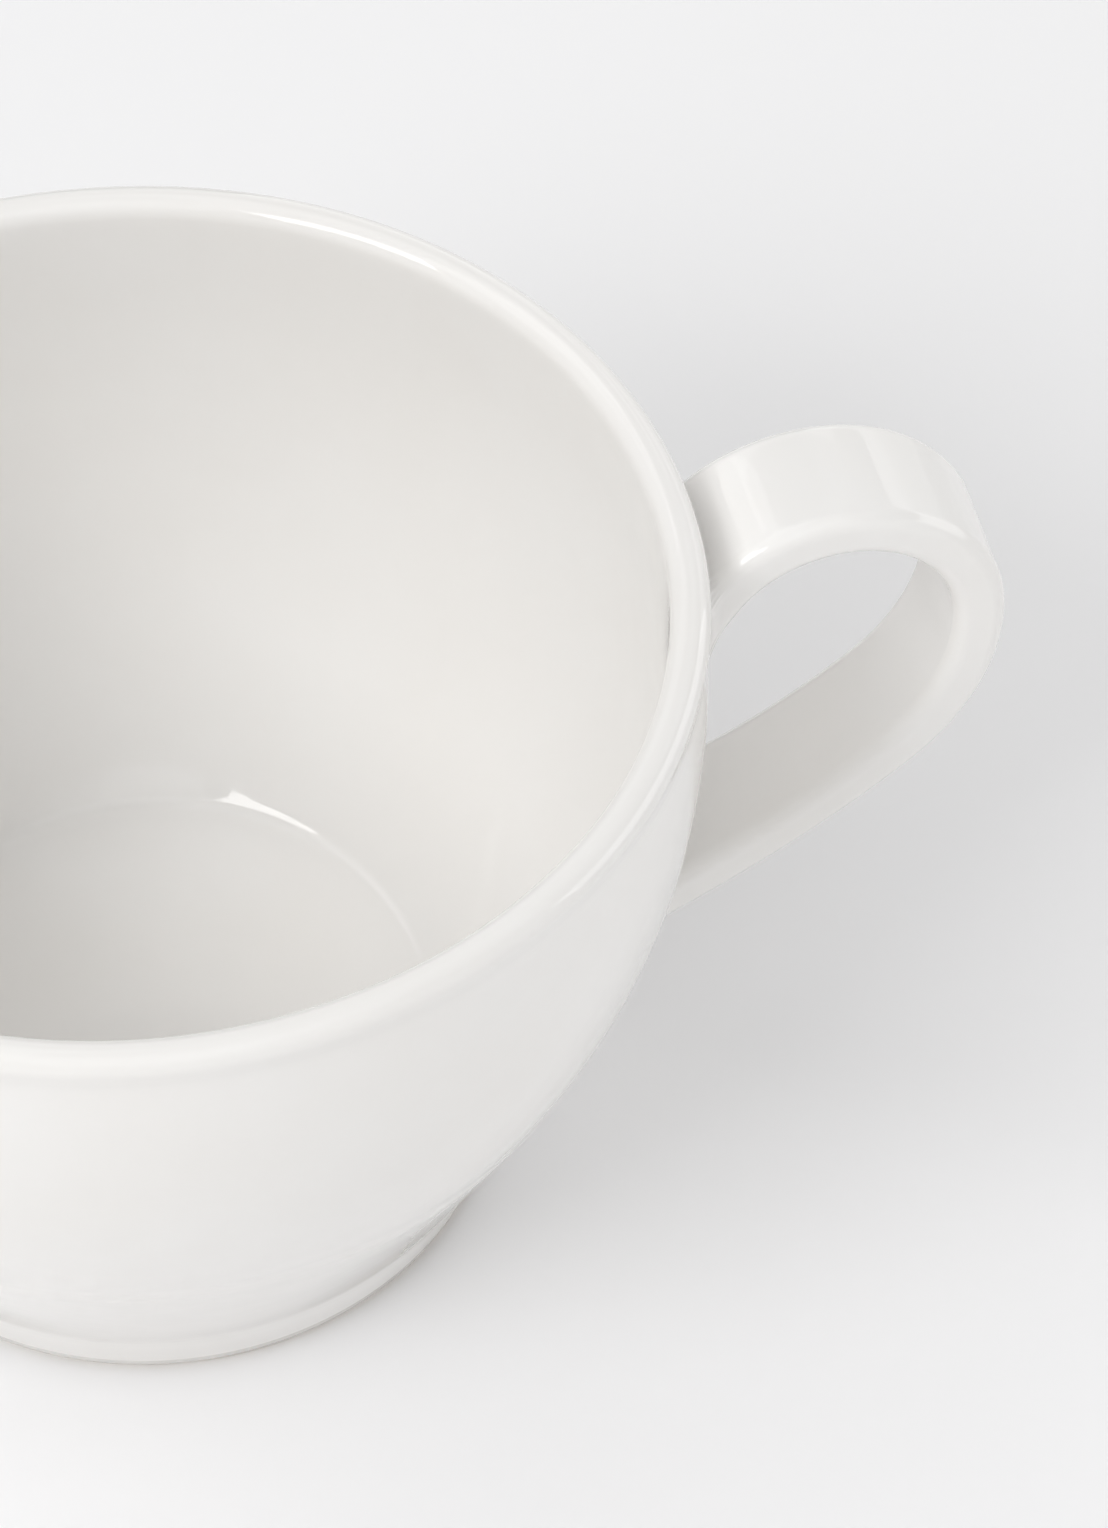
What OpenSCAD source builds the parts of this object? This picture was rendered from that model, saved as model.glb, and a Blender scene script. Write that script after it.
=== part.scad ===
// Ceramic mug: a wide glazed cup on a low foot, with a broad strap handle.
// The origin is the centre of the foot, on the surface that the mug stands on.
// +Z is up and the handle is on +X. Millimetres.

/* [Cup] */
// Outer diameter over the lip
rim_d = 112; // [108:0.5:116]
// Height from the foot to the top of the lip
cup_h = 77; // [76:0.5:80]
// Thickness of the rounded lip
lip_t = 4; // [3.6:0.1:4.4]
// Radius of the bowl's outer curve, seen from the side
bowl_r = 78; // [76:1:82]
// Height of the widest point of the bowl, under the lip
bowl_widest_z = 65; // [64:0.5:66]
// Height of the flat floor inside
floor_z = 11.7; // [11:0.1:13.5]
// Radius of the corner between the floor and the wall inside
floor_corner_r = 2.2; // [1.8:0.1:5]
// Radius of the cup's inner curve, seen from the side
cavity_r = 75.3; // [74.5:0.1:77]

/* [Band and foot] */
// Height of the crease where the bowl meets the band
band_top_z = 30.8; // [29.5:0.1:32]
// Height of the band's lower edge, where the steeper foot starts
band_bottom_z = 7.5; // [6.5:0.1:9]
// How far the band stands proud under the bowl
band_relief = 0.2; // [0.1:0.05:0.4]
// Diameter of the foot where it meets the table
foot_d = 69.2; // [67:0.2:70]
// Width of the foot ring
foot_ring_w = 5; // [4:0.1:6]
// Height of the hollow under the base
recess_h = 5; // [3.5:0.1:6]

/* [Handle] */
// Width of the strap over its glaze, halfway round
strap_w = 13.7; // [12.5:0.1:16]
// How much wider the strap is at the wall
strap_flare = 2.2; // [0:0.1:3]
// Thickness of the strap over its glaze
strap_t = 5.2; // [5:0.1:6.2]
// Corner radius of the strap's section over its glaze
strap_corner_r = 1.6; // [1.4:0.1:2.4]
// Distance from the cup's axis where the strap's line starts, in the wall
strap_start_x = 54; // [53.5:0.1:54.5]
// Height where the strap's line starts
strap_start_z = 63; // [61:0.5:64]
// Slope of the strap where it leaves the wall, in degrees
strap_start_slope = 55; // [53:0.5:57]

/* [Glaze and joints] */
// Thickness of the glaze
glaze_t = 0.4; // [0.3:0.05:0.5]
// Height of the bare clay left on the foot
dry_foot_h = 0.8; // [0.6:0.1:1.6]
// How far the joining slip stands out from the cup's glaze
slip_h = 0.8; // [0.5:0.1:1.4]

/* [Hidden] */
$fn = 96;

ivory = [0.93, 0.92, 0.89];
biscuit = [0.87, 0.83, 0.76];

lip_r = lip_t / 2;
lip_c = [rim_d / 2 - lip_r, cup_h - lip_r];
foot_r = foot_d / 2;
foot_round = 0.4;
recess_round = 2;
recess_r = foot_r - foot_ring_w;

// The bowl's outer arc runs from under the lip down to the band.
bowl_c = [rim_d / 2 - 0.05 - bowl_r, bowl_widest_z];
bowl_top_a = 6.1;
band_slope_a = asin((bowl_widest_z - band_top_z) / bowl_r);
band_length = (band_top_z - band_bottom_z) / cos(band_slope_a);
band_edge = 0.5;
band_foot = cone_point(band_length, -band_relief);
foot_slope_a = atan((band_foot.x - foot_r) / band_foot.y);

// The inner arc starts upright and ends in the floor's corner.
cavity_c = [rim_d / 2 - lip_t - cavity_r, 66];
corner_z = floor_z + floor_corner_r;
corner_a = asin((cavity_c.y - corner_z) / (cavity_r - floor_corner_r));
corner_c = cavity_c + (cavity_r - floor_corner_r) * [cos(corner_a), -sin(corner_a)];

// The strap is a straight rise, then a chain of tangent bends, each a radius and a turn in
// degrees. Both of its ends run on straight into the wall, where the cup cuts them off.
strap_rise = 5.3;
strap_bends = [[14.4, 90], [15.6, 50.5], [23.5, 52.5], [90, 19]];
strap_lead = 17;
bend_step = 7;
corner_steps = 5;
section_n = 4 * (corner_steps + 1);
joints_split_z = 46;
reach = 2 * rim_d;

// Points along an arc about c, from angle a to angle b.
function arc(c, r, a, b, steps) =
    [for (i = [0 : steps]) let (t = a + (b - a) * i / steps) c + r * [cos(t), sin(t)]];

// A point on the foot's cone, s along it from the bowl's arc, set in by d.
function cone_point(s, d) =
    bowl_c + (bowl_r - d) * [cos(band_slope_a), -sin(band_slope_a)]
    - s * [sin(band_slope_a), cos(band_slope_a)];
// A point on the foot's steeper cone, at height z, set in by d.
function foot_point(z, d) = [foot_r - d + z * tan(foot_slope_a), z];

// The outside, from the top of the bare clay to below the lip, set in by d.
function wall_outline(d) = concat(
    [foot_point(dry_foot_h, d)],
    [cone_point(band_length, d - band_relief), cone_point(band_edge, d - band_relief)],
    arc(bowl_c, bowl_r - d, -band_slope_a, bowl_top_a, 22)
);
// The same, carried on round the outer half of the lip.
function outside_outline(d) = concat(wall_outline(d), arc(lip_c, lip_r - d, -40, 90, 10));

// The inside, from the top of the lip down to the middle of the floor, set out by d.
function inside_outline(d) = concat(
    arc(lip_c, lip_r - d, 90, 180, 8),
    arc(cavity_c, cavity_r + d, 0, -corner_a, 22),
    arc(corner_c, floor_corner_r + d, -corner_a, -90, 8),
    [[0, floor_z - d]]
);

// The hollow under the base, from its middle out to the top of the bare clay.
function recess_outline(d) = concat(
    [[0, recess_h + d]],
    arc([recess_r - recess_round, recess_h - recess_round], recess_round + d, 90, 0, 5),
    [[recess_r + d, dry_foot_h]]
);

function backwards(list) = [for (i = [len(list) - 1 : -1 : 0]) list[i]];

// A skin between an outline and the same outline set in by the glaze's thickness.
module skin(outer, inner) {
    rotate_extrude() polygon(concat(outer, backwards(inner)));
}

// The cup as a solid with no hollow, up to below the lip, set in by d.
module cup_solid(d) {
    outline = wall_outline(d);
    rotate_extrude()
        polygon(concat([[0, 0], foot_point(0, d)], outline, [[0, outline[len(outline) - 1].y]]));
}

// The strap's section at a run along it, as [across its thickness, across its width],
// set in by d.
function strap_section(run, d) =
    let (extra = strap_flare * pow(min(abs(2 * run / strap_run - 1), 1), 4),
        t = strap_t / 2 - strap_corner_r, w = (strap_w + extra) / 2 - strap_corner_r,
        r = strap_corner_r - d)
    concat(
        arc([t, w], r, 0, 90, corner_steps), arc([-t, w], r, 90, 180, corner_steps),
        arc([-t, -w], r, 180, 270, corner_steps), arc([t, -w], r, 270, 360, corner_steps)
    );

// Where bend i starts, as [x, z, slope, run along the strap].
function bend_start(i) = i == 0
    ? straight_on([strap_start_x, strap_start_z, strap_start_slope, 0], strap_rise)
    : along_bend(i - 1, strap_bends[i - 1][1]);
// A place in bend i, after a turn of the given angle.
function along_bend(i, turn) =
    let (s = bend_start(i), radius = strap_bends[i][0], e = s[2] - turn)
    [s[0] + radius * (sin(s[2]) - sin(e)), s[1] - radius * (cos(s[2]) - cos(e)), e,
        s[3] + radius * turn * PI / 180];
// A place further along a straight line.
function straight_on(p, length) =
    [p[0] + length * cos(p[2]), p[1] + length * sin(p[2]), p[2], p[3] + length];
strap_run = bend_start(len(strap_bends))[3];

// Places along the whole strap, running on straight into the wall at both ends.
strap_places = concat(
    [straight_on(bend_start(0), -strap_lead)],
    [for (i = [0 : len(strap_bends) - 1])
        let (turn = strap_bends[i][1], steps = ceil(turn / bend_step))
        for (k = [0 : steps - 1]) along_bend(i, turn * k / steps)],
    [bend_start(len(strap_bends)), straight_on(bend_start(len(strap_bends)), strap_lead)]
);

// The corners of every section along the strap, one section after another, set in by d.
function strap_points(d) = [for (p = strap_places, q = strap_section(p[3], d))
    [p[0] - q.x * sin(p[2]), q.y, p[1] + q.x * cos(p[2])]];
// The quads between each section and the next, for points that start at the given index.
function strap_sides(start) = [for (k = [0 : len(strap_places) - 2], j = [0 : section_n - 1])
    let (near = start + k * section_n, far = near + section_n, next = (j + 1) % section_n)
    [near + j, near + next, far + next, far + j]];

// The clay strap as one solid.
module strap() {
    last = (len(strap_places) - 1) * section_n;
    first_end = [for (j = [section_n - 1 : -1 : 0]) j];
    last_end = [for (j = [0 : section_n - 1]) last + j];
    sides = concat(strap_sides(0), [first_end, last_end]);
    polyhedron(strap_points(glaze_t), sides, convexity = 4);
}

// The coat of glaze all round the clay strap, as one tube.
module strap_coat() {
    outer_n = len(strap_places) * section_n;
    last = outer_n - section_n;
    outside = strap_sides(0);
    inside = [for (face = strap_sides(outer_n)) backwards(face)];
    first_end = [for (j = [0 : section_n - 1]) let (next = (j + 1) % section_n)
        [next, j, outer_n + j, outer_n + next]];
    last_end = [for (j = [0 : section_n - 1]) let (next = (j + 1) % section_n)
        [last + j, last + next, last + outer_n + next, last + outer_n + j]];
    polyhedron(
        concat(strap_points(0), strap_points(glaze_t)),
        concat(outside, inside, first_end, last_end), convexity = 6
    );
}

// Both layers of joining slip, between the clay wall and the ends of the clay strap.
module slip_layers() {
    difference() {
        intersection() {
            strap();
            cup_solid(-slip_h);
        }
        cup_solid(glaze_t);
    }
}

module above(z) {
    translate([-reach / 2, -reach / 2, z]) cube(reach);
}

// The bowl and its foot, one piece of clay.
module body() {
    outside = outside_outline(glaze_t);
    inside = inside_outline(glaze_t);
    recess = recess_outline(glaze_t);
    foot_in = recess_r + glaze_t + foot_round;
    foot_out = foot_point(foot_round, glaze_t).x - foot_round / cos(foot_slope_a);
    color(biscuit) rotate_extrude() polygon(concat(
        recess,
        arc([foot_in, foot_round], foot_round, 180, 270, 4),
        arc([foot_out, foot_round], foot_round, 270, 360 - foot_slope_a, 4),
        outside,
        [for (i = [1 : len(inside) - 1]) inside[i]]
    ));
}

module handle() {
    color(biscuit) difference() {
        strap();
        cup_solid(-slip_h);
    }
}

module upper_handle_joint() {
    color(biscuit) intersection() {
        slip_layers();
        above(joints_split_z);
    }
}

module lower_handle_joint() {
    color(biscuit) difference() {
        slip_layers();
        above(joints_split_z);
    }
}

module inside_glaze() {
    color(ivory) skin(inside_outline(0), inside_outline(glaze_t));
}

// The outer coat stops short of the table and is open where the handle joins the wall.
module outside_glaze() {
    color(ivory) difference() {
        skin(outside_outline(0), outside_outline(glaze_t));
        strap();
    }
}

module base_glaze() {
    color(ivory) skin(recess_outline(0), recess_outline(glaze_t));
}

// The coat over the strap and the slip, down to the cup's own coat.
module handle_glaze() {
    color(ivory) difference() {
        strap_coat();
        cup_solid(0);
    }
}

body();
handle();
upper_handle_joint();
lower_handle_joint();
inside_glaze();
outside_glaze();
base_glaze();
handle_glaze();
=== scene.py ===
"""A glazed stoneware mug with a strap handle, on a plain pale floor.

The clay, the cup's glaze, the handle's glaze and the glaze under the base are separate pieces.
Lengths in the profile and the handle are millimetres, as in the CAD; meshes are metres.
"""
import math
import bpy
import numpy as np
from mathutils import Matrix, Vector


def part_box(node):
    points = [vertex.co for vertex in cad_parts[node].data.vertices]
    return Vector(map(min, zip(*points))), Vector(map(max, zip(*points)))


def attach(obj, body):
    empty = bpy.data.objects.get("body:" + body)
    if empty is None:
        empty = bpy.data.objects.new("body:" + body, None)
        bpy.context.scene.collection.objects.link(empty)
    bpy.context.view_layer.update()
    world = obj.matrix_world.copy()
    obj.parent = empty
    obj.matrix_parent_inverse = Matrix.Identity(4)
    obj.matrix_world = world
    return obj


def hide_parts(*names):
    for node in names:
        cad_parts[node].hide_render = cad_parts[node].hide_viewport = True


MM = 0.001

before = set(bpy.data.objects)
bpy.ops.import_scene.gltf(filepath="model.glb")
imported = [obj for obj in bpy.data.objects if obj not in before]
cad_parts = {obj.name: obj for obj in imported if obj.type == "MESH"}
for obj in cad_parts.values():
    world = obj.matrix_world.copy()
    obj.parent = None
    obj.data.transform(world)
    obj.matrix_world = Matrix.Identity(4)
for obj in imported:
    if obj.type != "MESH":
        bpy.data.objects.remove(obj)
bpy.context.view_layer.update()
CUP_TOP_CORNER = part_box("outside_glaze")[1]
RIM_R = CUP_TOP_CORNER.x / MM
HEIGHT = CUP_TOP_CORNER.z / MM

# Cup profile, in millimetres
LIP_R = 2.0
BOWL_R = 78.0
BOWL_WIDEST_Z = 65.0
BOWL_INSET = 0.05
BOWL_TOP_ANGLE = 6.1
BAND_TOP_Z = 30.8
BAND_BOTTOM_Z = 7.5
BAND_RELIEF = 0.2
BAND_EDGE = 0.5
CAVITY_R = 75.3
CAVITY_WIDEST_Z = 66.0
FLOOR_Z = 11.7
FLOOR_CORNER_R = 2.2
FOOT_R = 34.6
FOOT_RING_W = 5.0
FOOT_ROUND = 0.4
RECESS_H = 5.0
RECESS_ROUND = 2.0
DRY_FOOT_Z = 0.8
GLAZE_T = 0.4

# How far the glaze rounds the creases, in millimetres. SOFTEN_MORE is for what lies within
# SOFTEN_REACH of the hollow under the lip or of the band's upper edge.
SOFTEN = 0.5
SOFTEN_MORE = 1.0
SOFTEN_REACH = 2.2
SOFTEN_CLAY = 0.1

# The slow and the quick wander of the surface, and the height that it fades in over
WANDER_SLOW = 0.09
WANDER_QUICK = 0.05
WANDER_FADE_Z = 12.0

# Handle, in millimetres and degrees
STRAP_W = 13.7
STRAP_FLARE = 2.2
STRAP_T = 5.2
STRAP_CORNER_R = 1.6
STRAP_START = (54.0, 63.0)
STRAP_SLOPE = 55.0
STRAP_RISE = 5.3
STRAP_BENDS = ((14.4, 90.0), (15.6, 50.5), (23.5, 52.5), (90.0, 19.0))
STRAP_LEAD = 17.0

# The fillets onto the wall: how far they reach along the strap and over the wall, each given
# under, beside and over the strap
UPPER_FILLET = ((5.0, 3.5, 1.8), (4.5, 3.2, 1.6))
LOWER_FILLET = ((3.5, 4.0, 4.5), (3.2, 3.6, 4.0))
# How tightly they bend, how far their edge sinks into the wall, and how deep in the wall and
# how far out under the fillet the strap's hidden end lies
FILLET_PULL = 0.62
FILLET_SINK = 0.012
END_DEPTH = 1.2
END_SPREAD = 0.4

# How finely the meshes are divided
TURNS = 288
SECTION_POINTS = 96
SECTION_LONGEST = 9.0
STRAP_STEP = 0.25
STRAP_RINGS = 150
FILLET_RINGS = 16
HIDDEN_LINE = {"widest": 4.0, "bend": 0.3}
CLAY_LINE = {"widest": 2.5, "bend": 0.2}


# ---------------------------------------------------------------- profile

def arc(centre, radius, start, end, steps):
    """Points round a centre in the (r, z) plane, from one angle to another in degrees."""
    t = np.radians(np.linspace(start, end, steps + 1))
    return np.stack([centre[0] + radius * np.cos(t), centre[1] + radius * np.sin(t)], 1)


def band_slope():
    return math.asin((BOWL_WIDEST_Z - BAND_TOP_Z) / BOWL_R)


def bowl_centre():
    return (RIM_R - BOWL_INSET - BOWL_R, BOWL_WIDEST_Z)


def cone_point(along, depth):
    """A point on the cone below the bowl, some way along it and some depth under the glaze."""
    a = band_slope()
    c = bowl_centre()
    r = BOWL_R - depth
    return (c[0] + r * math.cos(a) - along * math.sin(a),
            c[1] - r * math.sin(a) - along * math.cos(a))


def band_foot(depth):
    """The band's lower edge, where the steeper foot starts."""
    return cone_point((BAND_TOP_Z - BAND_BOTTOM_Z) / math.cos(band_slope()), depth - BAND_RELIEF)


def foot_slope():
    r, z = band_foot(0)
    return math.atan((r - FOOT_R) / z)


def foot_point(z, depth):
    return (FOOT_R - depth + z * math.tan(foot_slope()), z)


def outside_line(depth):
    """The outside, from the top of the bare clay up and over to the top of the lip."""
    a = band_slope()
    lip = (RIM_R - LIP_R, HEIGHT - LIP_R)
    return np.concatenate([
        [foot_point(DRY_FOOT_Z, depth), band_foot(depth)],
        [cone_point(BAND_EDGE, depth - BAND_RELIEF)],
        arc(bowl_centre(), BOWL_R - depth, -math.degrees(a), BOWL_TOP_ANGLE, 40),
        arc(lip, LIP_R - depth, -40, 90, 20),
    ])


def inside_line(depth):
    """The inside, from the top of the lip down to the middle of the floor."""
    lip = (RIM_R - LIP_R, HEIGHT - LIP_R)
    centre = (RIM_R - 2 * LIP_R - CAVITY_R, CAVITY_WIDEST_Z)
    reach = CAVITY_R - FLOOR_CORNER_R
    a = math.degrees(math.asin((CAVITY_WIDEST_Z - FLOOR_Z - FLOOR_CORNER_R) / reach))
    corner = (centre[0] + reach * math.cos(math.radians(a)), FLOOR_Z + FLOOR_CORNER_R)
    return np.concatenate([
        arc(lip, LIP_R - depth, 90, 180, 14)[1:],
        arc(centre, CAVITY_R + depth, 0, -a, 40),
        arc(corner, FLOOR_CORNER_R + depth, -a, -90, 12),
        [(0.0, FLOOR_Z - depth)],
    ])


def recess_line(depth):
    """The hollow under the base, from its middle out to the top of the bare clay."""
    r = FOOT_R - FOOT_RING_W
    return np.concatenate([
        [(0.0, RECESS_H + depth)],
        arc((r - RECESS_ROUND, RECESS_H - RECESS_ROUND), RECESS_ROUND + depth, 90, 0, 10),
        [(r + depth, DRY_FOOT_Z)],
    ])


def length_along(points):
    return np.concatenate([[0], np.cumsum(np.linalg.norm(np.diff(points, axis=0), axis=1))])


def resample(points, places):
    s = length_along(points)
    return np.stack([np.interp(places, s, points[:, i]) for i in range(2)], 1)


def soften(points, sigma, step=0.1):
    """The same line with its creases rounded, as glaze rounds them. Its ends stay put."""
    total = length_along(points)[-1]
    n = int(total / step)
    fine = resample(points, np.linspace(0, total, n + 1))
    reach = int(4 * sigma / step)
    weights = np.exp(-0.5 * (np.arange(-reach, reach + 1) * step / sigma) ** 2)
    weights /= weights.sum()
    before = 2 * fine[0] - fine[reach:0:-1]
    after = 2 * fine[-1] - fine[-2:-reach - 2:-1]
    padded = np.concatenate([before, fine, after])
    return np.stack([np.convolve(padded[:, i], weights, "valid") for i in range(2)], 1)


def spaced(points, widest=1.3, bend=0.07):
    """Fewer points: close together where the line turns, at most widest apart elsewhere."""
    s = length_along(points)
    d = np.gradient(points, s, axis=0)
    heading = np.unwrap(np.arctan2(d[:, 1], d[:, 0]))
    turn = np.abs(np.gradient(heading, s))
    turn = np.maximum(turn, np.convolve(turn, np.ones(7) / 7, "same"))
    density = np.maximum(1 / widest, turn / bend)
    total = np.concatenate([[0], np.cumsum((density[1:] + density[:-1]) / 2 * np.diff(s))])
    places = np.interp(np.linspace(0, total[-1], int(total[-1]) + 2), total, s)
    return resample(points, places)


def cup_line(depth):
    """The whole glazed outline: up the outside, over the lip and down to the floor's middle.

    The hollow under the lip and the band's upper edge are rounded more than the rest."""
    line = np.concatenate([outside_line(depth), inside_line(depth)])
    crisp, soft = soften(line, SOFTEN), soften(line, SOFTEN_MORE)
    share = np.zeros((len(crisp), 1))
    for place in ((RIM_R - 0.5, HEIGHT - 2 * LIP_R), cone_point(0, 0)):
        away = np.linalg.norm(crisp - place, axis=1)
        share[:, 0] += np.exp(-(away / SOFTEN_REACH) ** 4)
    return crisp * (1 - share) + soft * share


OUTSIDE = cup_line(0)
OUTSIDE = OUTSIDE[:np.argmax(OUTSIDE[:, 1] > HEIGHT - 0.7 * LIP_R)]


def wall_r(z):
    """The cup's outer radius at a height below the lip."""
    return np.interp(z, OUTSIDE[:, 1], OUTSIDE[:, 0])


# ---------------------------------------------------------------- meshes

def unevenness(p):
    """A very small smooth wander of a point, the same for every piece, as in a cast pot."""
    x, y, z = p[:, 0], p[:, 1], p[:, 2]
    u = np.sin(0.083 * x + 0.051 * z + 0.4) * np.cos(0.071 * y - 0.062 * z + 1.1)
    v = np.sin(0.17 * y + 0.09 * x + 2.0) * np.sin(0.13 * z - 0.11 * x + 0.7)
    radial = np.stack([x, y, 0 * z], 1) / (np.linalg.norm(p[:, :2], axis=1)[:, None] + 1.0)
    fade = np.clip(z / WANDER_FADE_Z, 0, 1)[:, None]
    return radial * fade * (WANDER_SLOW * u + WANDER_QUICK * v)[:, None]


def make_object(name, points, faces, material):
    """A smooth-shaded mesh from millimetre points, riding on the mug's one body."""
    points = np.asarray(points, float)
    points = (points + unevenness(points)) * MM
    mesh = bpy.data.meshes.new(name)
    mesh.from_pydata([tuple(p) for p in points], [], faces)
    mesh.validate()
    mesh.shade_smooth()
    mesh.materials.append(material)
    piece = bpy.data.objects.new(name, mesh)
    bpy.context.scene.collection.objects.link(piece)
    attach(piece, "root")
    return piece


def turned(line):
    """Points and faces of a closed outline turned about the axis. Points with r = 0 are poles."""
    points, faces, rows = [], [], []
    angles = np.linspace(0, 2 * np.pi, TURNS, endpoint=False)
    for r, z in line:
        if r < 1e-6:
            rows.append([len(points)] * TURNS)
            points.append((0.0, 0.0, z))
        else:
            rows.append(list(range(len(points), len(points) + TURNS)))
            points.extend((r * math.cos(a), r * math.sin(a), z) for a in angles)
    for row, above in zip(rows, rows[1:] + rows[:1]):
        for i in range(TURNS):
            j = (i + 1) % TURNS
            corners = [row[i], row[j], above[j], above[i]]
            face = [c for k, c in enumerate(corners) if c not in corners[:k]]
            if len(face) > 2:
                faces.append(face)
    return points, faces


def glaze_shell(name, outer, inner, material):
    """A thin closed skin between an outer line and an inner line."""
    points, faces = turned(np.concatenate([outer, inner[::-1]]))
    return make_object(name, points, faces, material)


# ---------------------------------------------------------------- handle

def straight_on(place, distance):
    x, z, slope = place
    return (x + distance * math.cos(slope), z + distance * math.sin(slope), slope)


def strap_path():
    """Places (x, z, slope) along the strap's middle line, a short step apart.

    Also how far each is from halfway, as a share of the run from wall to wall."""
    slope = math.radians(STRAP_SLOPE)
    start = straight_on((STRAP_START[0], STRAP_START[1], slope), STRAP_RISE)
    places = [straight_on(start, d) for d in np.arange(-STRAP_LEAD, 0, STRAP_STEP)]
    here = start
    for radius, turn in STRAP_BENDS:
        x, z, a = here
        centre = (x + radius * math.sin(a), z - radius * math.cos(a))
        steps = max(4, int(radius * math.radians(turn) / STRAP_STEP))
        for k in range(steps):
            b = a - math.radians(turn) * k / steps
            places.append((centre[0] - radius * math.sin(b), centre[1] + radius * math.cos(b), b))
        b = a - math.radians(turn)
        here = (centre[0] - radius * math.sin(b), centre[1] + radius * math.cos(b), b)
    end = len(places)
    places += [straight_on(here, d) for d in np.arange(0, STRAP_LEAD, STRAP_STEP)]
    places = np.array(places)
    run = length_along(places[:, :2])
    before, total = STRAP_LEAD - STRAP_RISE, run[end]
    from_middle = np.clip(np.abs(2 * (run - before) / (total - before) - 1), 0, 1)
    return places, from_middle


def strap_section(count):
    """The glazed section as (out, across) points and their outward normals.

    Points crowd at the corners, so that those stay crisp."""
    r = STRAP_CORNER_R
    half = (STRAP_T / 2 - r, STRAP_W / 2 - r)
    corners = [(1, 1, 0), (-1, 1, 90), (-1, -1, 180), (1, -1, 270)]
    line = np.concatenate([arc((sx * half[0], sy * half[1]), r, a, a + 90, 24)
                           for sx, sy, a in corners])
    line = np.concatenate([line, line[:1]])
    gaps = np.linalg.norm(np.diff(line, axis=0), axis=1)
    shares = np.concatenate([[0], np.cumsum(np.sqrt(np.minimum(gaps, SECTION_LONGEST) / r))])
    places = np.interp(np.linspace(0, shares[-1], count, endpoint=False),
                       shares, length_along(line))
    section = resample(line, places)
    tangent = np.roll(section, -1, 0) - np.roll(section, 1, 0)
    normal = np.stack([tangent[:, 1], -tangent[:, 0]], 1)
    return section, normal / np.linalg.norm(normal, axis=1)[:, None]


def on_wall(p):
    """The nearest point of the cup's outside to p, and the wall's outward normal there."""
    p = np.array(p, float)
    for _ in range(6):
        r = math.hypot(p[0], p[1])
        slope = (wall_r(p[2] + 0.3) - wall_r(p[2] - 0.3)) / 0.6
        n = np.array([p[0] / r, p[1] / r, -slope])
        n /= np.linalg.norm(n)
        p = p - n * (r - wall_r(p[2])) * n[:2].dot(p[:2] / r)
    return p, n


def fillet(side, normal, reach_strap, reach_wall):
    """Points from one side line of the strap round onto the wall, and one inside the wall.

    side is that line's points, from inside the wall outwards. Also where on it they start."""
    outside = [math.hypot(p[0], p[1]) > wall_r(p[2]) for p in side]
    hit = outside.index(True)
    steps = length_along(side[hit:])
    first = hit + int(np.argmax(steps >= reach_strap))
    a = side[first]
    towards = side[first - 1] - side[first]
    towards /= np.linalg.norm(towards)
    foot, wall_n = on_wall(side[hit])
    spread = normal - wall_n * normal.dot(wall_n)
    spread /= np.linalg.norm(spread)
    b, b_n = on_wall(foot + spread * reach_wall)
    back = -(spread - b_n * spread.dot(b_n))
    back /= np.linalg.norm(back)
    c1 = a + towards * FILLET_PULL * np.linalg.norm(a - foot)
    c2 = b + back * FILLET_PULL * np.linalg.norm(b - foot)
    b = b - b_n * FILLET_SINK
    t = np.linspace(0, 1, FILLET_RINGS + 1)[:, None]
    curve = (1 - t) ** 3 * a + 3 * (1 - t) ** 2 * t * c1 + 3 * (1 - t) * t ** 2 * c2 + t ** 3 * b
    buried = foot - wall_n * END_DEPTH + spread * reach_wall * END_SPREAD
    return first, curve[1:], buried


def mix(under, side, over, facing):
    """A value that goes from under through side to over as facing goes from -1 to 1."""
    return side + (over - side) * max(facing, 0) ** 2 + (under - side) * min(facing, 0) ** 2


def strap_mesh():
    """The glazed strap: side lines along it, with a fillet onto the wall at both ends."""
    path, from_middle = strap_path()
    section, normals = strap_section(SECTION_POINTS)
    widen = STRAP_FLARE / STRAP_W * from_middle ** 4
    columns = []
    for (out, across), (n_out, n_across) in zip(section, normals):
        sin, cos = np.sin(path[:, 2]), np.cos(path[:, 2])
        line = np.stack(
            [path[:, 0] - out * sin, across * (1 + widen), path[:, 1] + out * cos], 1)
        upper_n = np.array([-n_out * sin[0], n_across, n_out * cos[0]])
        lower_n = np.array([-n_out * sin[-1], n_across, n_out * cos[-1]])
        first, upper, upper_in = fillet(
            line, upper_n, *(mix(*reach, n_out) for reach in UPPER_FILLET))
        last, lower, lower_in = fillet(
            line[::-1], lower_n, *(mix(*reach, n_out) for reach in LOWER_FILLET))
        last = len(line) - 1 - last
        s = length_along(line)
        places = np.linspace(s[first], s[last], STRAP_RINGS + 1)
        middle = np.stack([np.interp(places, s, line[:, i]) for i in range(3)], 1)
        columns.append(np.concatenate(
            [[upper_in], upper[::-1], middle, lower, [lower_in]]))
    return np.array(columns)


def strap_faces(count, rings):
    faces = []
    for j in range(count):
        k = (j + 1) % count
        for i in range(rings - 1):
            faces.append([j * rings + i, j * rings + i + 1, k * rings + i + 1, k * rings + i])
    return faces


def make_handle(material):
    """The glazed handle, closed inside the wall at both ends."""
    columns = strap_mesh()
    count, rings = columns.shape[:2]
    points = list(columns.reshape(-1, 3))
    faces = strap_faces(count, rings)
    for end in (0, rings - 1):
        middle = columns[:, end].mean(0)
        points.append(middle)
        for j in range(count):
            edge = [j * rings + end, ((j + 1) % count) * rings + end]
            faces.append((edge if end == 0 else edge[::-1]) + [len(points) - 1])
    return make_object("handle_glaze_coat", points, faces, material)


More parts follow.
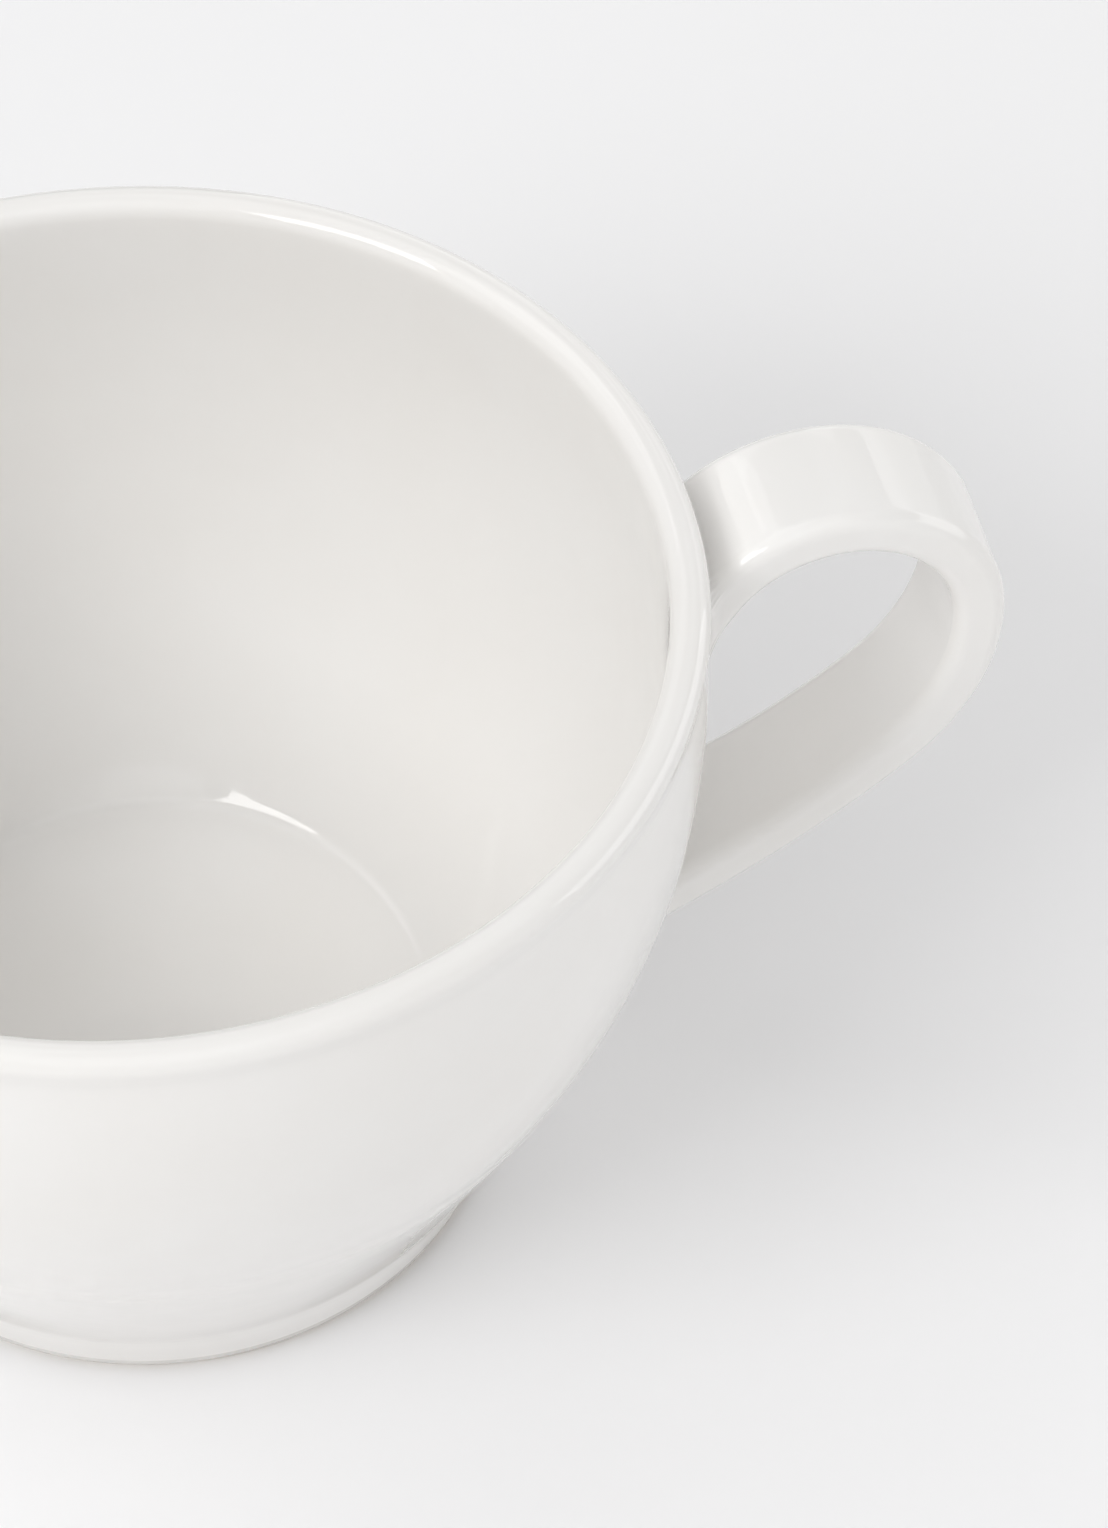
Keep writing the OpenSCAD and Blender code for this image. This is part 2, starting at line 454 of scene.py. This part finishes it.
# ---------------------------------------------------------------- materials

BLACK, WHITE = (0, 0, 0), (1, 1, 1)
GLAZE_TONES = ((0.822, 0.806, 0.783), (0.838, 0.827, 0.810))
CLAY_TONES = ((0.60, 0.53, 0.43), (0.74, 0.68, 0.59))
FLOOR_TONES = ((0.875, 0.873, 0.878), (0.882, 0.880, 0.886))
SPECK = (0.36, 0.31, 0.25)
IRON = (0.30, 0.21, 0.14)


def new_material(name):
    material = bpy.data.materials.new(name)
    material.use_nodes = True
    tree = material.node_tree
    return material, tree, tree.nodes["Principled BSDF"]


def add(tree, kind, **settings):
    """A new node, with its input sockets or its own settings set by name."""
    node = tree.nodes.new(kind)
    for key, value in settings.items():
        if key in node.inputs:
            node.inputs[key].default_value = value
        else:
            setattr(node, key, value)
    return node


def noise(tree, vector, scale, detail=2.0, roughness=0.5):
    node = add(tree, "ShaderNodeTexNoise", Scale=scale, Detail=detail, Roughness=roughness)
    tree.links.new(vector, node.inputs["Vector"])
    return node.outputs["Fac"]


def ramp(tree, value, low, high, low_colour, high_colour):
    """From one colour to another as value goes from low to high."""
    node = add(tree, "ShaderNodeValToRGB")
    tree.links.new(value, node.inputs["Fac"])
    node.color_ramp.elements[0].position = low
    node.color_ramp.elements[0].color = (*low_colour, 1)
    node.color_ramp.elements[1].position = high
    node.color_ramp.elements[1].color = (*high_colour, 1)
    return node.outputs["Color"]


# The colour sockets of a Mix node: its inputs Factor, A and B, and its output
MIX_INPUTS = (0, 6, 7)
MIX_RESULT = 2


def mixed(tree, factor, a, b, mode="MIX"):
    node = add(tree, "ShaderNodeMix", data_type="RGBA", blend_type=mode)
    for value, place in zip((factor, a, b), MIX_INPUTS):
        if isinstance(value, (int, float)):
            node.inputs[place].default_value = value
        elif isinstance(value, tuple):
            node.inputs[place].default_value = (*value, 1)
        else:
            tree.links.new(value, node.inputs[place])
    return node.outputs[MIX_RESULT]


def scattered(tree, where, scale, size, chosen):
    """Small round grains: a share of a grid's cells, jittered. Ranges are (full, none)."""
    cells = add(tree, "ShaderNodeTexVoronoi", Scale=scale, Randomness=1.0)
    tree.links.new(where, cells.inputs["Vector"])
    near = ramp(tree, cells.outputs["Distance"], *size, WHITE, BLACK)
    some = ramp(tree, cells.outputs["Color"], *chosen, BLACK, WHITE)
    return mixed(tree, 1.0, near, some, "MULTIPLY")


def bump(tree, height, strength, distance, after=None):
    node = add(tree, "ShaderNodeBump", Strength=strength, Distance=distance)
    tree.links.new(height, node.inputs["Height"])
    if after is not None:
        tree.links.new(after, node.inputs["Normal"])
    return node.outputs["Normal"]


def glaze_material():
    """Warm white gloss glaze: faint clouding, rare specks, and a softly dimpled surface."""
    material, tree, shader = new_material("glaze")
    where = add(tree, "ShaderNodeTexCoord").outputs["Object"]
    clouds = noise(tree, where, 38.0, 3.0, 0.55)
    tone = ramp(tree, clouds, 0.3, 0.7, *GLAZE_TONES)
    specks = scattered(tree, where, 95.0, (0.018, 0.03), (0.93, 0.94))
    colour = mixed(tree, specks, tone, SPECK)
    tree.links.new(colour, shader.inputs["Base Color"])
    gloss = ramp(tree, noise(tree, where, 120.0, 2.0), 0.35, 0.7, (0.03,) * 3, (0.06,) * 3)
    tree.links.new(gloss, shader.inputs["Roughness"])
    dimples = noise(tree, where, 420.0, 1.0)
    ripples = noise(tree, where, 75.0, 1.0)
    normal = bump(tree, ripples, 0.10, 0.0009)
    normal = bump(tree, dimples, 0.05, 0.00015, normal)
    tree.links.new(normal, shader.inputs["Normal"])
    shader.inputs["IOR"].default_value = 1.5
    shader.inputs["Specular IOR Level"].default_value = 0.5
    return material


def clay_material():
    """Bare fired stoneware: matt, warm buff, with fine grit and a few iron grains."""
    material, tree, shader = new_material("clay")
    where = add(tree, "ShaderNodeTexCoord").outputs["Object"]
    grain = noise(tree, where, 900.0, 4.0, 0.65)
    tone = ramp(tree, grain, 0.35, 0.68, *CLAY_TONES)
    grains = scattered(tree, where, 620.0, (0.10, 0.22), (0.80, 0.84))
    colour = mixed(tree, grains, tone, IRON)
    tree.links.new(colour, shader.inputs["Base Color"])
    rough = ramp(tree, grain, 0.3, 0.7, (0.80,) * 3, (0.95,) * 3)
    tree.links.new(rough, shader.inputs["Roughness"])
    normal = bump(tree, grain, 0.5, 0.0002)
    tree.links.new(normal, shader.inputs["Normal"])
    shader.inputs["Specular IOR Level"].default_value = 0.3
    return material


def floor_material():
    """A matt pale surface with the faintest drift of tone."""
    material, tree, shader = new_material("pale_floor")
    where = add(tree, "ShaderNodeTexCoord").outputs["Object"]
    tone = ramp(tree, noise(tree, where, 3.0), 0.3, 0.7, *FLOOR_TONES)
    tree.links.new(tone, shader.inputs["Base Color"])
    shader.inputs["Roughness"].default_value = 0.9
    shader.inputs["Specular IOR Level"].default_value = 0.1
    return material


# ---------------------------------------------------------------- the mug

def make_glaze(glaze):
    """The cup's coat, in one piece over the lip, and the patch under the base."""
    outer = spaced(cup_line(0.0))
    inner = spaced(cup_line(GLAZE_T), **HIDDEN_LINE)
    cup = glaze_shell("cup_glaze_coat", outer, inner, glaze)
    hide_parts("outside_glaze", "inside_glaze")

    base_outer = spaced(soften(recess_line(0.0), SOFTEN))
    base_inner = spaced(soften(recess_line(GLAZE_T), SOFTEN), **HIDDEN_LINE)
    base = glaze_shell("base_glaze_coat", base_inner, base_outer, glaze)
    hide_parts("base_glaze")


def make_clay(clay):
    """The cup's clay under the glaze, bare on the foot ring."""
    foot_in = FOOT_R - FOOT_RING_W + GLAZE_T + FOOT_ROUND
    foot_out = foot_point(FOOT_ROUND, GLAZE_T)[0] - FOOT_ROUND / math.cos(foot_slope())
    lean = math.degrees(foot_slope())
    clay_line = np.concatenate([
        recess_line(GLAZE_T),
        arc((foot_in, FOOT_ROUND), FOOT_ROUND, 180, 270, 6),
        arc((foot_out, FOOT_ROUND), FOOT_ROUND, 270, 360 - lean, 6),
        outside_line(GLAZE_T), inside_line(GLAZE_T),
    ])
    points, faces = turned(spaced(soften(clay_line, SOFTEN_CLAY), **CLAY_LINE))
    body = make_object("clay_body", points, faces, clay)
    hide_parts("body")


def make_mug():
    glaze, clay = glaze_material(), clay_material()
    make_glaze(glaze)
    make_clay(clay)
    handle = make_handle(glaze)
    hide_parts("handle_glaze")
    for node in ("handle", "upper_handle_joint", "lower_handle_joint"):
        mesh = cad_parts[node].data
        mesh.materials.clear()
        mesh.materials.append(clay)


# ---------------------------------------------------------------- stage

# The camera, in rim radii from the foot's centre, and angles in degrees
CAMERA_BACK = 7.1486
CAMERA_UP = 9.3221
CAMERA_AZIMUTH = -98.0
CAMERA_HEADING = 76.11
CAMERA_PITCH = 49.71
CAMERA_LENS = 149.4
FLOOR_HALF = 4.0


def make_camera():
    rim = RIM_R * MM
    a = math.radians(CAMERA_AZIMUTH)
    place = Vector((CAMERA_BACK * math.cos(a), CAMERA_BACK * math.sin(a), CAMERA_UP)) * rim
    h, p = math.radians(CAMERA_HEADING), math.radians(CAMERA_PITCH)
    aim = Vector((math.cos(h) * math.cos(p), math.sin(h) * math.cos(p), -math.sin(p)))
    data = bpy.data.cameras.new("camera")
    data.lens = CAMERA_LENS
    data.sensor_width = 36.0
    data.clip_start, data.clip_end = 0.05, 20.0
    camera = bpy.data.objects.new("camera", data)
    camera.location = place
    camera.rotation_mode = "QUATERNION"
    camera.rotation_quaternion = aim.to_track_quat("-Z", "Y")
    bpy.context.scene.collection.objects.link(camera)
    bpy.context.scene.camera = camera


def make_floor():
    mesh = bpy.data.meshes.new("floor")
    h = FLOOR_HALF
    mesh.from_pydata([(-h, -h, 0), (h, -h, 0), (h, h, 0), (-h, h, 0)], [], [[0, 1, 2, 3]])
    mesh.materials.append(floor_material())
    floor = bpy.data.objects.new("floor", mesh)
    bpy.context.scene.collection.objects.link(floor)


# Soft lamps round the mug: azimuth and elevation in degrees, and power in watts
LAMP_DISTANCE = 1.6
FILL_SIZE = (1.5, 0.9)
KEY_SIZE = (0.8, 0.62)
WORLD_STRENGTH = 0.16
FILL_LAMPS = (
    (0, 12, 9.0), (50, 12, 4.0), (140, 12, 1.2), (210, 12, 2.8), (260, 12, 1.5), (310, 12, 2.3),
    (90, 30, 2.9), (50, 34, 1.2), (270, 30, 1.4),
    (150, 48, 3.6), (180, 48, 1.0), (240, 48, 1.7), (270, 48, 1.8),
    (154, 68, 2.1), (257, 68, 1.7), (102, 68, 1.3),
    (308, 68, 1.1), (0, 89, 1.2),
)
KEY_LAMPS = ((209, 41, 9.2),)


def softbox(name, azimuth, elevation, size, power):
    """A rectangular white lamp that faces the mug."""
    data = bpy.data.lights.new(name, "AREA")
    data.shape = "RECTANGLE"
    data.size, data.size_y = size
    data.energy = power
    lamp = bpy.data.objects.new(name, data)
    a, e = math.radians(azimuth), math.radians(elevation)
    back = Vector((math.cos(a) * math.cos(e), math.sin(a) * math.cos(e), math.sin(e)))
    lamp.location = back * LAMP_DISTANCE + Vector((0, 0, HEIGHT * MM / 2))
    lamp.rotation_mode = "QUATERNION"
    lamp.rotation_quaternion = (-back).to_track_quat("-Z", "Y")
    bpy.context.scene.collection.objects.link(lamp)


def make_light():
    world = bpy.data.worlds.new("studio")
    world.use_nodes = True
    background = world.node_tree.nodes["Background"]
    background.inputs["Color"].default_value = (1, 1, 1, 1)
    background.inputs["Strength"].default_value = WORLD_STRENGTH
    bpy.context.scene.world = world
    for name, size, lamps in (("fill", FILL_SIZE, FILL_LAMPS), ("key", KEY_SIZE, KEY_LAMPS)):
        for i, (azimuth, elevation, power) in enumerate(lamps):
            softbox(f"{name}_{i}", azimuth, elevation, size, power)


def set_colour():
    """Plain colour management, with no look of its own."""
    view = bpy.context.scene.view_settings
    view.view_transform = "Standard"
    view.look = "None"
    view.exposure = 0.0
    view.gamma = 1.0


make_camera()
make_mug()
make_floor()
make_light()
set_colour()
